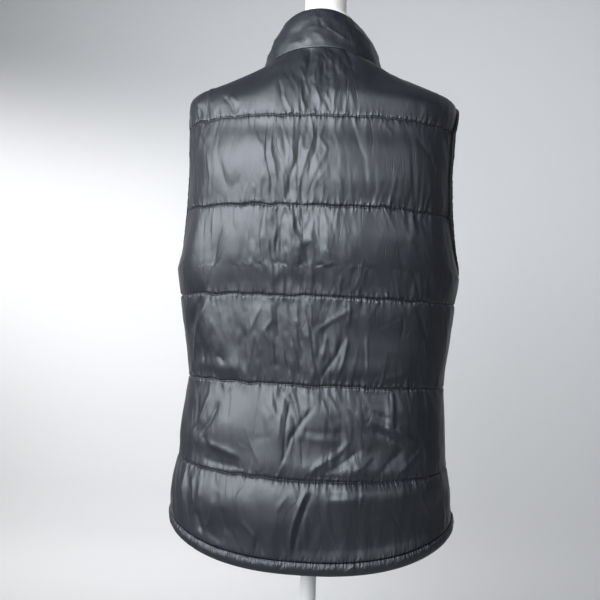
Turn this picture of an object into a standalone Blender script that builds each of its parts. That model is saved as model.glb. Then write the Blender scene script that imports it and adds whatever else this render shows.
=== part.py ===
"""A padded vest with a stand collar, zipped shut on a limbless dress form that stands on a round base.

Metres, +Z up. The front faces -Y, so the wearer's left is +X. The origin is the middle of the base's underside.
The cloth and the form are both read off one general figure: a stack of rings from the hem to the neck.
"""

import math

import bmesh
import bpy
import numpy as np

# ---- driving sizes -------------------------------------------------------------------------------------
HEM_HEIGHT = 0.70  # the hem at the centre back, above the floor
SEAM_GAP = 0.0003  # between neighbouring pieces
WALL_AT_SEAM = 0.003  # cloth, padding and lining where they are stitched flat
WALL_AT_CROWN = 0.0095  # the same in the middle of a quilted channel
EDGE_TAPER = 0.014  # how far in from an edge the padding reaches its full height
SIDE_TAPER = 0.045  # the same beside the side and shoulder seams
ZIP_HALF_GAP = 0.007  # from the centre front to each front edge
ZIP_TAPE_WALL = 0.0012
CASING_WALL = 0.0065  # the turned-up hem at its fullest
BINDING_RADIUS = 0.0023
POLE_RADIUS = 0.01075
BASE_RADIUS = 0.165
BASE_THICKNESS = 0.012
NECK_POST_RADIUS = 0.0285
NECK_POST_HEIGHT = 0.040
ARM_PLATE_X = 0.150  # the form's flat arm plates
ARM_PLATE_FROM = 0.391  # height over the hem at which the plates start
TORSO_BOTTOM = 0.054  # the form's lower end, over the hem
FORM_CLEARANCE_AT_SHOULDER = 0.0006

# The figure inside the cloth. A row is one ring, with its height at the back, side and front over the hem.
# A squareness of 2 is an ellipse.
RING = ("z_back", "z_side", "z_front", "half_width", "y_back", "y_side", "y_front", "squareness")
FIGURE = np.array([
    (0.0000, 0.041, 0.012, 0.1800, 0.1160, 0.000, -0.112, 2.35),  # hem edge
    (0.0153, 0.055, 0.027, 0.1790, 0.1160, 0.000, -0.113, 2.35),  # top of the hem casing
    (0.0560, 0.082, 0.066, 0.1755, 0.1150, 0.000, -0.113, 2.35),
    (0.1080, 0.119, 0.111, 0.1705, 0.1110, 0.000, -0.110, 2.35),  # fifth quilting line
    (0.1610, 0.164, 0.162, 0.1665, 0.1060, 0.000, -0.106, 2.35),
    (0.2195, 0.2205, 0.220, 0.1655, 0.1015, 0.000, -0.104, 2.35),  # fourth, at the waist
    (0.2730, 0.273, 0.273, 0.1690, 0.1040, 0.000, -0.110, 2.35),
    (0.3270, 0.327, 0.327, 0.1765, 0.1110, 0.000, -0.120, 2.35),  # third
    (0.3610, 0.361, 0.356, 0.1795, 0.1160, 0.000, -0.126, 2.35),  # underarm
    (0.3960, 0.396, 0.390, 0.1790, 0.1190, 0.000, -0.129, 2.35),
    (0.4340, 0.434, 0.426, 0.1775, 0.1215, 0.000, -0.127, 2.35),  # second
    (0.4880, 0.488, 0.471, 0.1770, 0.1215, 0.000, -0.119, 2.35),
    (0.5430, 0.544, 0.512, 0.1775, 0.1155, 0.001, -0.107, 2.35),  # first
    (0.5720, 0.571, 0.534, 0.1765, 0.1075, 0.001, -0.099, 2.35),
    (0.5900, 0.588, 0.546, 0.1720, 0.0990, 0.002, -0.094, 2.30),  # shoulder tip
    (0.6080, 0.598, 0.554, 0.1440, 0.0910, 0.003, -0.089, 2.20),
    (0.6250, 0.609, 0.562, 0.1110, 0.0840, 0.004, -0.083, 2.10),
    (0.6420, 0.628, 0.574, 0.0755, 0.0770, 0.005, -0.075, 2.00),  # neck seam
])
COLLAR = np.array([
    (0.6424, 0.6284, 0.5744, 0.0753, 0.0768, 0.005, -0.0748, 2.00),
    (0.6580, 0.645, 0.593, 0.0725, 0.0725, 0.005, -0.0710, 2.00),
    (0.6740, 0.661, 0.612, 0.0680, 0.0670, 0.005, -0.0660, 2.00),
    (0.6900, 0.677, 0.632, 0.0630, 0.0615, 0.005, -0.0605, 2.00),
    (0.7030, 0.690, 0.648, 0.0575, 0.0570, 0.005, -0.0550, 2.00),
])
NECK = np.array([
    (0.6510, 0.638, 0.588, 0.0635, 0.0640, 0.004, -0.0600, 2.00),
    (0.6680, 0.661, 0.622, 0.0530, 0.0520, 0.003, -0.0500, 2.00),
    (0.6880, 0.685, 0.664, 0.0450, 0.0440, 0.001, -0.0430, 2.00),
    (0.7060, 0.706, 0.702, 0.0395, 0.0385, 0.000, -0.0385, 2.00),
    (0.7150, 0.715, 0.714, 0.0355, 0.0355, 0.000, -0.0355, 2.00),
    (0.7200, 0.720, 0.720, 0.0290, 0.0290, 0.000, -0.0290, 2.00),
])
CASING_TOP, UNDERARM, SHOULDER_TIP, NECK_SEAM = 0.0153, 0.361, 0.590, 0.642
QUILTING_LINES = (0.108, 0.2195, 0.327, 0.434, 0.543)

# The armhole edge: the angle from the centre back, or from the centre front, at which a panel ends.
ARMHOLE_EDGE = np.array([  # height at the back, back angle, front angle
    (0.361, 90, 90),
    (0.367, 83, 83),
    (0.379, 76, 75),
    (0.396, 71.5, 69),
    (0.434, 68.5, 64),
    (0.488, 67.5, 61),
    (0.543, 70.5, 62),
    (0.572, 78, 71),
    (0.590, 90, 90),
])
BUST = {"out": 0.013, "x": 0.082, "z": 0.421, "wide": 0.050, "tall": 0.075}

# Largest folds: soft ridges (+) and troughs (-). Angle from the centre back in degrees, over the hem in metres.
FOLD = ("angle_low", "z_low", "angle_high", "z_high", "half_width", "height")
FOLDS = np.array([
    (-9, 0.235, -15, 0.420, 0.012, 0.0016),
    (1, 0.235, -5, 0.425, 0.014, -0.0020),
    (12, 0.240, 4, 0.320, 0.011, 0.0018),
    (62, 0.130, 30, 0.215, 0.014, 0.0022),
    (-40, 0.150, -14, 0.190, 0.012, -0.0020),
    (-34, 0.130, -62, 0.175, 0.012, 0.0018),
    (150, 0.235, 158, 0.320, 0.012, 0.0018),
    (-152, 0.240, -146, 0.325, 0.012, 0.0018),
    (128, 0.240, 132, 0.410, 0.014, -0.0018),
    (-130, 0.245, -126, 0.400, 0.014, -0.0018),
])

BACK_COLUMNS, FRONT_COLUMNS, COLLAR_COLUMNS = 24, 12, 32
CHANNEL_ROWS, YOKE_ROWS, COLLAR_ROWS = 4, 7, 5
FORM_ROWS_BELOW = (0.054, 0.081, 0.116, 0.161, 0.2195, 0.273, 0.327, 0.361, 0.391, 0.434, 0.488, 0.543)

CLOTH_COLOUR = (0.018, 0.020, 0.023, 1)
BINDING_COLOUR = (0.008, 0.008, 0.010, 1)
ZIP_COLOUR = (0.012, 0.012, 0.013, 1)
FORM_COLOUR = (0.82, 0.81, 0.78, 1)
METAL_COLOUR = (0.80, 0.80, 0.79, 1)


# ---- the figure ----------------------------------------------------------------------------------------
def smooth_rows(table, heights):
    """The table's rows at these heights at the back, on a Catmull-Rom curve through them."""
    at, slopes = table[:, 0], np.gradient(table, table[:, 0], axis=0)
    low = np.clip(np.searchsorted(at, heights, side="right") - 1, 0, len(at) - 2)
    step = (at[low + 1] - at[low])[:, None]
    t = np.clip((heights - at[low])[:, None] / step, 0, 1)
    h00, h10 = 2 * t**3 - 3 * t**2 + 1, t**3 - 2 * t**2 + t
    h01, h11 = 3 * t**2 - 2 * t**3, t**3 - t**2
    return h00 * table[low] + h10 * step * slopes[low] + h01 * table[low + 1] + h11 * step * slopes[low + 1]


def figure_points(table, heights, angles):
    """Points of the figure. heights and angles are grids; the angle is 0 at the centre back and turns towards +X."""
    rows = smooth_rows(table, heights.ravel()).reshape(*heights.shape, len(RING))
    z_back, z_side, z_front, half_width, y_back, y_side, y_front, squareness = np.moveaxis(rows, -1, 0)
    across = np.sin(angles)
    reach = np.clip(1 - np.abs(across) ** squareness, 0, 1) ** (1 / squareness)
    behind = np.cos(angles) >= 0
    x = half_width * across
    y = y_side + reach * np.where(behind, y_back - y_side, y_front - y_side)
    z = z_side + reach**1.6 * np.where(behind, z_back - z_side, z_front - z_side)
    mound = np.exp(-(((np.abs(x) - BUST["x"]) / BUST["wide"]) ** 2) - ((z - BUST["z"]) / BUST["tall"]) ** 2)
    y = y - np.where(behind, 0, BUST["out"] * mound * np.clip(reach * 2, 0, 1))
    return np.stack([x, y, z + HEM_HEIGHT], axis=-1)


def figure_normals(table, heights, angles):
    """Outward normals of the figure at these places, the same for pieces that meet there."""
    low, high = table[0, 0], table[-1, 0]
    above = figure_points(table, np.clip(heights + 0.001, low, high), angles)
    below = figure_points(table, np.clip(heights - 0.001, low, high), angles)
    ahead = figure_points(table, heights, angles + 0.004)
    behind = figure_points(table, heights, angles - 0.004)
    normal = np.cross(above - below, ahead - behind)
    return normal / np.linalg.norm(normal, axis=-1, keepdims=True)


def surface(table, heights, angles):
    """Points and normals for rows at these heights; angles has a row for each."""
    grid = np.repeat(heights[:, None], angles.shape[1], axis=1)
    return figure_points(table, grid, angles), figure_normals(table, grid, angles)


def mitre(first, second):
    """The direction halfway between two normals, longer so that a wall keeps its thickness round the bend."""
    middle = first + second
    middle /= np.linalg.norm(middle, axis=-1, keepdims=True)
    return middle / np.sum(middle * first, axis=-1, keepdims=True)


def fold_height(heights, angles):
    """How far the folds lift the cloth's outside at each place."""
    lift = np.zeros_like(heights)
    degrees = np.degrees(angles)
    for angle_low, z_low, angle_high, z_high, half_width, height in FOLDS:
        along = (heights - z_low) / (z_high - z_low)
        middle = angle_low + (angle_high - angle_low) * along
        off = (degrees - middle) * math.radians(0.17)
        ends = np.clip(np.sin(np.pi * np.clip(along, 0, 1)), 0, 1)
        lift += height * ends * np.exp(-((off / half_width) ** 2))
    return lift


def channel_share(heights, lines):
    """0 on a quilting line and 1 in the middle of a channel."""
    low = np.clip(np.searchsorted(lines, heights, side="right") - 1, 0, len(lines) - 2)
    lines = np.asarray(lines)
    share = (heights - lines[low]) / (lines[low + 1] - lines[low])
    return np.clip(np.sin(np.pi * np.clip(share, 0, 1)), 0, 1) ** 0.55


def distance_from_sides(points):
    """How far each point of a grid is from the nearer end of its row, along the row."""
    steps = np.linalg.norm(np.diff(points, axis=1), axis=-1)
    along = np.concatenate([np.zeros((len(points), 1)), np.cumsum(steps, axis=1)], axis=1)
    return np.minimum(along, along[:, -1:] - along)


# ---- mesh helpers --------------------------------------------------------------------------------------
def material(name, colour, roughness, metallic=0.0):
    made = bpy.data.materials.new(name)
    made.use_nodes = True
    shader = made.node_tree.nodes["Principled BSDF"]
    shader.inputs["Base Color"].default_value = colour
    shader.inputs["Roughness"].default_value = roughness
    shader.inputs["Metallic"].default_value = metallic
    made.diffuse_color = colour
    return made


def add_object(name, vertices, faces, finish, smooth=True):
    mesh = bpy.data.meshes.new(name)
    mesh.from_pydata([tuple(v) for v in vertices], [], faces)
    edit = bmesh.new()
    edit.from_mesh(mesh)
    bmesh.ops.recalc_face_normals(edit, faces=edit.faces)
    edit.to_mesh(mesh)
    edit.free()
    mesh.materials.append(finish)
    if smooth:
        mesh.shade_smooth()
        mesh.set_sharp_from_angle(angle=math.radians(50))
    made = bpy.data.objects.new(name, mesh)
    bpy.context.scene.collection.objects.link(made)
    return made


def grid_faces(rows, columns, first=0, close_rows=False):
    """Quads of a grid of points; close_rows joins each row's end to its start."""
    faces = []
    for i in range(rows - 1):
        for j in range(columns if close_rows else columns - 1):
            k = (j + 1) % columns
            faces.append((first + i * columns + j, first + i * columns + k,
                          first + (i + 1) * columns + k, first + (i + 1) * columns + j))
    return faces


def wall(name, inner, outer, finish):
    """A closed wall between two grids of the same shape, rimmed on all four sides."""
    rows, columns = inner.shape[:2]
    count = rows * columns
    faces = grid_faces(rows, columns) + grid_faces(rows, columns, count)
    ring = [j for j in range(columns)]
    ring += [i * columns + columns - 1 for i in range(1, rows)]
    ring += [(rows - 1) * columns + j for j in range(columns - 2, -1, -1)]
    ring += [i * columns for i in range(rows - 2, 0, -1)]
    for a, b in zip(ring, ring[1:] + ring[:1]):
        faces.append((a, b, b + count, a + count))
    return add_object(name, np.concatenate([inner.reshape(-1, 3), outer.reshape(-1, 3)]), faces, finish)


def loft(name, rings, finish, closed=False, smooth=True):
    """A solid through rings of points: capped at both ends, or closed into a loop."""
    rows, columns = rings.shape[:2]
    faces = grid_faces(rows, columns, close_rows=True)
    if closed:
        last = (rows - 1) * columns
        faces += [(last + j, last + (j + 1) % columns, (j + 1) % columns, j) for j in range(columns)]
    else:
        faces += [tuple(range(columns)), tuple(range((rows - 1) * columns, rows * columns))]
    return add_object(name, rings.reshape(-1, 3), faces, finish, smooth)


def turned(name, profile, finish, bore=None, segments=32):
    """A round piece on the Z axis from (radius, height) pairs; bore leaves a hole of that radius through it."""
    angles = np.linspace(0, 2 * math.pi, segments, endpoint=False)
    around = np.stack([np.cos(angles), np.sin(angles)], axis=-1)
    if bore is not None:
        profile = [*profile, (bore, profile[-1][1]), (bore, profile[0][1])]
    rings = np.array([[(r * c, r * s, z) for c, s in around] for r, z in profile])
    return loft(name, rings, finish, closed=bore is not None)


def pulled_in(points, gap=SEAM_GAP / 2):
    """The grid with the first and last point of each row moved in from the seam."""
    moved = points.copy()
    for edge, beside in ((0, 1), (-1, -2)):
        inward = points[:, beside] - points[:, edge]
        moved[:, edge] += inward / np.linalg.norm(inward, axis=-1, keepdims=True) * gap
    return moved


# ---- the vest ------------------------------------------------------------------------------------------
def panel_heights():
    """Row heights: a few in each quilted channel, with extra rows round the underarm, then the yoke."""
    lines = (CASING_TOP, *QUILTING_LINES)
    shares = (0.0, 0.14, 0.5, 0.86)
    rows = [low + (high - low) * share for low, high in zip(lines, lines[1:]) for share in shares]
    rows = [row for row in rows if not UNDERARM < row < 0.400] + [UNDERARM, 0.367, 0.379, 0.396, 0.413]
    rows += list(np.linspace(QUILTING_LINES[-1], SHOULDER_TIP, 4)) + [0.599, 0.610, 0.621, 0.632, NECK_SEAM]
    rows[0] += SEAM_GAP
    return np.unique(np.round(rows, 5))


def edge_angle(heights, column):
    return np.radians(np.interp(heights, ARMHOLE_EDGE[:, 0], ARMHOLE_EDGE[:, column]))


def zip_angle(table, heights):
    """The angle at which a front edge stands beside the zip."""
    return math.pi - np.arcsin(ZIP_HALF_GAP / smooth_rows(table, heights)[:, 3])


def panel_angles(heights, part):
    """The columns' angles in each row of the back or of a front."""
    if part == "back":
        return edge_angle(heights, 1)[:, None] * np.linspace(-1, 1, BACK_COLUMNS + 1)
    start, end = math.pi - edge_angle(heights, 2), zip_angle(FIGURE, heights)
    angles = start[:, None] + (end - start)[:, None] * np.linspace(0, 1, FRONT_COLUMNS + 1)
    return angles if part == "front_left" else -angles[:, ::-1]


def neck_mitre(angles):
    """The shared direction of the panels' and the collar's walls along the neck seam."""
    at_neck, at_collar = (np.full_like(angles, table[row, 0]) for table, row in ((FIGURE, -1), (COLLAR, 0)))
    collar = figure_normals(COLLAR, at_collar, angles)
    return mitre(figure_normals(FIGURE, at_neck, angles), collar)


def panel(name, finish):
    heights = panel_heights()
    angles = panel_angles(heights, name)
    grid = np.repeat(heights[:, None], angles.shape[1], axis=1)
    points, normals = surface(FIGURE, heights, angles)
    normals[-1] = neck_mitre(angles[-1])
    near_side = np.clip(distance_from_sides(points) / SIDE_TAPER, 0, 1) ** 0.6
    crown = channel_share(grid, (CASING_TOP, *QUILTING_LINES, NECK_SEAM)) * near_side
    thickness = WALL_AT_SEAM + (WALL_AT_CROWN - WALL_AT_SEAM) * crown + fold_height(grid, angles) * crown
    inner = pulled_in(points)
    return wall(name, inner, inner + normals * thickness[..., None], finish)


def casing(name, part, finish):
    """The hem, turned up and stitched: a soft tube below a panel."""
    shares = np.array([0.0, 0.12, 0.45, 0.80, 1.0])
    swell = np.array([0.25, 0.75, 1.0, 0.75, 0.15])
    heights = shares * (CASING_TOP - SEAM_GAP)
    angles = panel_angles(np.full(len(shares), CASING_TOP), part)
    points, normals = surface(FIGURE, heights, angles)
    inner = pulled_in(points)
    outer = inner + normals * (WALL_AT_SEAM + (CASING_WALL - WALL_AT_SEAM) * swell)[:, None, None]
    return wall(name, inner - normals * (0.001 * swell)[:, None, None], outer, finish)


def stand_collar(finish):
    shares = np.array([0.0, 0.10, 0.35, 0.65, 0.90, 1.0])
    heights = COLLAR[0, 0] + shares * (COLLAR[-1, 0] - COLLAR[0, 0])
    angles = zip_angle(COLLAR, heights)[:, None] * np.linspace(-1, 1, COLLAR_COLUMNS + 1)
    points, normals = surface(COLLAR, heights, angles)
    normals[0] = neck_mitre(angles[0])
    near_side = np.clip(distance_from_sides(points) / EDGE_TAPER, 0, 1) ** 0.6
    crown = (np.sin(np.pi * shares) ** 0.6)[:, None] * near_side
    thickness = WALL_AT_SEAM + 0.0035 * crown
    return wall("collar", points, points + normals * thickness[..., None], finish)


def armhole_loop(side):
    """Points and outward normals of one armhole's edge: up the back, over the shoulder tip and down the front."""
    heights = panel_heights()
    heights = heights[(heights >= UNDERARM) & (heights <= SHOULDER_TIP)]
    points, normals = [], []
    for part, column in (("back", -1), ("front_left", 0)):
        angles = panel_angles(heights, part)
        grid, facing = surface(FIGURE, heights, angles)
        points.append(pulled_in(grid)[:, column])
        normals.append(facing[:, column])
    loop = np.concatenate([points[0], points[1][-2:0:-1]])
    facing = np.concatenate([normals[0], normals[1][-2:0:-1]])
    mirror = np.array([side, 1, 1])
    return loop * mirror, facing * mirror


def binding(name, side, finish):
    loop, facing = armhole_loop(side)
    tangent = np.roll(loop, -1, axis=0) - np.roll(loop, 1, axis=0)
    inward = np.cross(facing, tangent)
    inward /= np.linalg.norm(inward, axis=-1, keepdims=True)
    middle = loop.mean(axis=0)
    if ((middle - loop) * inward).sum() < 0:
        inward = -inward
    centre = loop + facing * WALL_AT_SEAM / 2 + inward * (SEAM_GAP * 2 + BINDING_RADIUS)
    turns = np.linspace(0, 2 * math.pi, 6, endpoint=False)
    rings = np.array([[c + BINDING_RADIUS * (math.cos(t) * d + math.sin(t) * n) for t in turns]
                      for c, d, n in zip(centre, inward, facing)])
    return loft(name, rings, finish, closed=True)


# ---- the zip -------------------------------------------------------------------------------------------
def zip_line():
    """Points up the centre front, from the hem to the top of the collar, with their outward normals."""
    body = np.linspace(0.0, NECK_SEAM - 0.004, 22)
    upper = np.linspace(COLLAR[0, 0] + 0.004, COLLAR[-1, 0], 6)
    front = figure_points(FIGURE, body[:, None], np.full((len(body), 1), math.pi))[:, 0]
    neck = figure_points(COLLAR, upper[:, None], np.full((len(upper), 1), math.pi))[:, 0]
    line = np.concatenate([front, neck])
    up = np.gradient(line, axis=0)
    up /= np.linalg.norm(up, axis=-1, keepdims=True)
    return line, up, np.cross(up, [-1, 0, 0])


def zip_tape(name, side, finish):
    line, _, out = zip_line()
    low, high = 0.0009, 0.0009 + ZIP_TAPE_WALL
    near, far = SEAM_GAP / 2, ZIP_HALF_GAP - SEAM_GAP
    across = [np.array([side * x, 0, 0]) for x in (near, far)]
    inner = np.stack([line + x + out * low for x in across], axis=1)
    outer = np.stack([line + x + out * high for x in across], axis=1)
    return wall(name, inner, outer, finish)


def zip_place(share):
    """A point on the outside of the tapes, with the zip's upward and outward directions there."""
    line, up, out = zip_line()
    along = np.linspace(0, 1, len(line))
    at = [np.array([np.interp(share, along, part[:, k]) for k in range(3)]) for part in (line, up, out)]
    place, upward, outward = at
    upward /= np.linalg.norm(upward)
    outward = np.cross(upward, [-1, 0, 0])
    return place + outward * (0.0009 + ZIP_TAPE_WALL + SEAM_GAP), upward, outward


SLIDER = {"share": 0.955, "plate": 0.0030, "length": 0.011, "top_half": 0.0050, "low_half": 0.0036}
BAIL = {"half_length": 0.0034, "half_width": 0.0008, "bar": 0.0009, "height": 0.0036}
PULL = {"pivot": 0.0013, "thick": 0.0012, "window": 0.0050, "window_half": 0.0012, "half_width": 0.0030,
        "length": 0.026, "bar": 0.0006}


def in_place(points, frame, lift=0.0):
    """Local (across, up the zip, out) points put in the row frame."""
    place, upward, outward = frame
    points = np.asarray(points, float)
    sideways = np.array([1.0, 0, 0])
    return place + points[:, :1] * sideways + points[:, 1:2] * upward + (points[:, 2:] + lift) * outward


def prism(outline, low, high):
    """Vertices and faces of an outline of (across, up) points from one level out to another."""
    count = len(outline)
    vertices = [(x, u, low) for x, u in outline] + [(x, u, high) for x, u in outline]
    faces = [tuple(range(count)), tuple(range(count, 2 * count))]
    faces += [(j, (j + 1) % count, (j + 1) % count + count, j + count) for j in range(count)]
    return vertices, faces


def slider(finish):
    """The slider's body and, joined to it, the bail that the pull hangs from."""
    frame = zip_place(SLIDER["share"])
    half, top, low = SLIDER["length"] / 2, SLIDER["top_half"], SLIDER["low_half"]
    outline = [(-low, -half), (low, -half), (low + 0.0002, -half * 0.3), (top, half * 0.55), (top * 0.8, half),
               (-top * 0.8, half), (-top, half * 0.55), (-low - 0.0002, -half * 0.3)]
    vertices, faces = prism(outline, 0, SLIDER["plate"])
    body = add_object("zip_slider", in_place(vertices, frame), faces, finish, smooth=False)
    reach, rise, bar = BAIL["half_length"], BAIL["height"], BAIL["bar"]
    arch = [(-reach, -0.001), (-reach, rise * 0.55), (-reach * 0.6, rise), (reach * 0.6, rise), (reach, rise * 0.55),
            (reach, -0.001), (reach - bar, -0.001), (reach - bar, rise * 0.5), (reach * 0.5, rise - bar),
            (-reach * 0.5, rise - bar), (-reach + bar, rise * 0.5), (-reach + bar, -0.001)]
    count = len(arch)
    sides = [(x, u, n) for x in (-BAIL["half_width"], BAIL["half_width"]) for u, n in arch]
    around = [(j, (j + 1) % count, (j + 1) % count + count, j + count) for j in range(count)]
    faces = [tuple(range(count)), tuple(range(count, 2 * count))] + around
    bail = add_object("zip_bail_guide", in_place(sides, frame, SLIDER["plate"]), faces, finish, smooth=False)
    bail.hide_render = True
    bail.display_type = "WIRE"
    join = body.modifiers.new("bail", "BOOLEAN")
    join.operation = "UNION"
    join.object = bail
    return body


def pull_tab(finish):
    """The tab: a plate with a window, whose top bar turns under the bail. It hangs down the zip."""
    frame = zip_place(SLIDER["share"])
    bar, half, length = PULL["bar"], PULL["half_width"], PULL["length"]
    outer = [(-half * 0.8, bar), (half * 0.8, bar), (half, -0.004), (half * 0.72, -0.009), (half, -0.018),
             (half * 0.8, -length + 0.001), (half * 0.4, -length), (-half * 0.4, -length),
             (-half * 0.8, -length + 0.001), (-half, -0.018), (-half * 0.72, -0.009), (-half, -0.004)]
    inside = PULL["window_half"]
    window = [(-inside, -bar), (inside, -bar), (inside, -PULL["window"]), (-inside, -PULL["window"])]
    low = PULL["pivot"] - PULL["thick"] / 2
    vertices, faces = prism(outer, low, low + PULL["thick"])
    tab = add_object("zip_pull", in_place(vertices, frame, SLIDER["plate"]), faces, finish, smooth=False)
    vertices, faces = prism(window, low - 0.001, low + PULL["thick"] + 0.001)
    cutter = add_object("window_cutter", in_place(vertices, frame, SLIDER["plate"]), faces, finish, smooth=False)
    cutter.hide_render = True
    cutter.display_type = "WIRE"
    cut = tab.modifiers.new("window", "BOOLEAN")
    cut.operation = "DIFFERENCE"
    cut.object = cutter
    return tab


def retainer_box(finish):
    """The box and pin at the foot of the zip."""
    frame = zip_place(0.018)
    outline = [(-0.0045, -0.0055), (0.0045, -0.0055), (0.005, -0.004), (0.005, 0.0055), (-0.005, 0.0055),
               (-0.005, -0.004)]
    vertices, faces = prism(outline, 0, 0.0028)
    return add_object("zip_box", in_place(vertices, frame), faces, finish, smooth=False)


# ---- the dress form and its stand ----------------------------------------------------------------------
def form_torso(finish):
    """The limbless form: the figure with room under the cloth, touching it only at the shoulders."""
    clearance_rows = np.array([(0.0, 0.022), (0.2195, 0.017), (0.327, 0.014), (0.434, 0.010), (0.543, 0.0045),
                               (0.572, 0.0025), (SHOULDER_TIP, 0.0014), (0.610, FORM_CLEARANCE_AT_SHOULDER),
                               (NECK_SEAM, 0.0012)])
    heights = np.array([h for h in FORM_ROWS_BELOW] + [h for h in panel_heights() if h > QUILTING_LINES[-1]])
    back = np.linspace(-1, 1, BACK_COLUMNS + 1) * math.pi / 2
    front = np.linspace(math.pi / 2, math.pi, FRONT_COLUMNS + 1)[1:]
    angles = np.concatenate([back, front, -front[::-1][1:]])
    grid = np.repeat(heights[:, None], len(angles), axis=1)
    spread = np.repeat(angles[None], len(heights), axis=0)
    points = figure_points(FIGURE, grid, spread)
    clearance = np.interp(heights, *clearance_rows.T)[:, None, None]
    points = points - figure_normals(FIGURE, grid, spread) * clearance
    low_ring = points[:1].copy()
    low_ring[..., 2] = HEM_HEIGHT + TORSO_BOTTOM
    points[0, :, 2] = np.maximum(points[0, :, 2], HEM_HEIGHT + TORSO_BOTTOM + 0.006)
    low_ring[..., :2] *= 0.97
    above = points[..., 2] - HEM_HEIGHT
    plate = np.interp(above, (ARM_PLATE_FROM - 0.03, ARM_PLATE_FROM + 0.012), (0.19, ARM_PLATE_X))
    points[..., 0] = np.clip(points[..., 0], -plate, plate)
    neck_heights = NECK[:, 0]
    neck = figure_points(NECK, np.repeat(neck_heights[:, None], len(angles), axis=1),
                         np.repeat(angles[None], len(neck_heights), axis=0))
    return loft("form_torso", np.concatenate([low_ring, points, neck]), finish)


def stand(form_finish, metal_finish):
    """The neck stump over the form, the pole under it with a socket at each end, and the round base."""
    top, bottom = HEM_HEIGHT + NECK[-1, 0] + SEAM_GAP, HEM_HEIGHT + TORSO_BOTTOM - SEAM_GAP
    floor = BASE_THICKNESS + SEAM_GAP
    r, h, bore = NECK_POST_RADIUS, NECK_POST_HEIGHT, POLE_RADIUS + SEAM_GAP
    turned("form_neck_post", [(r, top), (r, top + h - 0.006), (r - 0.0018, top + h - 0.0018), (r - 0.006, top + h)],
           form_finish)
    turned("form_socket", [(0.016, bottom - 0.045), (0.017, bottom - 0.044), (0.017, bottom - 0.006),
                           (0.032, bottom - 0.004), (0.032, bottom)], metal_finish, bore)
    turned("pole", [(POLE_RADIUS, floor), (POLE_RADIUS, bottom)], metal_finish, segments=24)
    turned("base_socket", [(0.024, floor), (0.024, floor + 0.004), (0.017, floor + 0.010), (0.0165, floor + 0.040),
                           (0.0155, floor + 0.041)], metal_finish, bore)
    turned("base_plate", [(BASE_RADIUS - 0.002, 0), (BASE_RADIUS, 0.002), (BASE_RADIUS, BASE_THICKNESS - 0.004),
                          (BASE_RADIUS - 0.0015, BASE_THICKNESS - 0.001), (BASE_RADIUS - 0.005, BASE_THICKNESS)],
           metal_finish, segments=64)


def main():
    for old in list(bpy.data.objects):
        bpy.data.objects.remove(old, do_unlink=True)
    cloth = material("shell_cloth", CLOTH_COLOUR, 0.42)
    trim = material("binding", BINDING_COLOUR, 0.6)
    fastener = material("zip", ZIP_COLOUR, 0.45)
    cover = material("form_cover", FORM_COLOUR, 0.85)
    metal = material("stand_metal", METAL_COLOUR, 0.4)
    for part in ("back", "front_left", "front_right"):
        panel(part, cloth)
        casing(f"hem_casing_{part}", part, cloth)
    stand_collar(cloth)
    for side, word in ((1, "left"), (-1, "right")):
        binding(f"armhole_binding_{word}", side, trim)
        zip_tape(f"zip_tape_{word}", side, fastener)
    slider(fastener)
    pull_tab(fastener)
    retainer_box(fastener)
    form_torso(cover)
    stand(cover, metal)


main()
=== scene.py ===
"""The padded vest on its dress form, with its quilting, folds, stitching and zip, in the CAD part's own frame.

Metres, +Z up, front towards -Y, the wearer's left towards +X. "Line" numbers count down the vest: 0 is the neck seam,
1 to 5 are the quilting lines and 6 is the top of the hem casing.
"""

import math
from functools import partial

import bpy
import numpy as np
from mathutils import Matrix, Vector


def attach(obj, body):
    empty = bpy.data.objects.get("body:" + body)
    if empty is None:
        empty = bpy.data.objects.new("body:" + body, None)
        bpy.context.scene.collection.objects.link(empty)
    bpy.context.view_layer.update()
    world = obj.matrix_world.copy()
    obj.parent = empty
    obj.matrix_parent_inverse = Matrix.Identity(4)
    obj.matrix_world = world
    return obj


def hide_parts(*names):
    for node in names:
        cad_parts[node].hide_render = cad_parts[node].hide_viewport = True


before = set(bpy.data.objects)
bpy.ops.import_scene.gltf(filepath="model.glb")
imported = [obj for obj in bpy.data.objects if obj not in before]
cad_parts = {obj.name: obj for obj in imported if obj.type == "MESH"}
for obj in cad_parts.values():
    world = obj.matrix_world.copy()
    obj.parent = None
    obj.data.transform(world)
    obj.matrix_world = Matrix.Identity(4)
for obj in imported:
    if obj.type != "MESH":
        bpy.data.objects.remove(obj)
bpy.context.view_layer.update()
BODY = "vest_and_form"

# ---- sizes ----
HEM_HEIGHT = 0.70  # of the hem at the centre back, over the floor
SEAM_GAP = 0.0003
# The padded wall's thickness: where panels meet, at a quilting line, halfway between lines, at the neck seam, and on
# the shoulders, where the vest rests on the form and its padding is pressed flat.
WALL_AT_SEAM, WALL_AT_LINE, WALL_AT_CROWN, WALL_AT_NECK, WALL_AT_SHOULDER = 0.003, 0.0052, 0.0100, 0.0050, 0.0032
GROOVE = 0.0006  # the thread's own groove along a quilting line
SIDE_TAPER = 0.045  # the padding thins over this width at a panel's sides
ZIP_HALF_GAP = 0.007
TILT = 0.012  # slope of the quilting lines, as the vest hangs a little askew
CREASE_HEIGHT, CREASE_WIDTH = 1.02, 0.8  # shares of the heights and half widths in BACK_CREASES
UPPER_CALM = 0.86  # a further share of the widths, and squared of the heights, in the two upper channels
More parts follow.
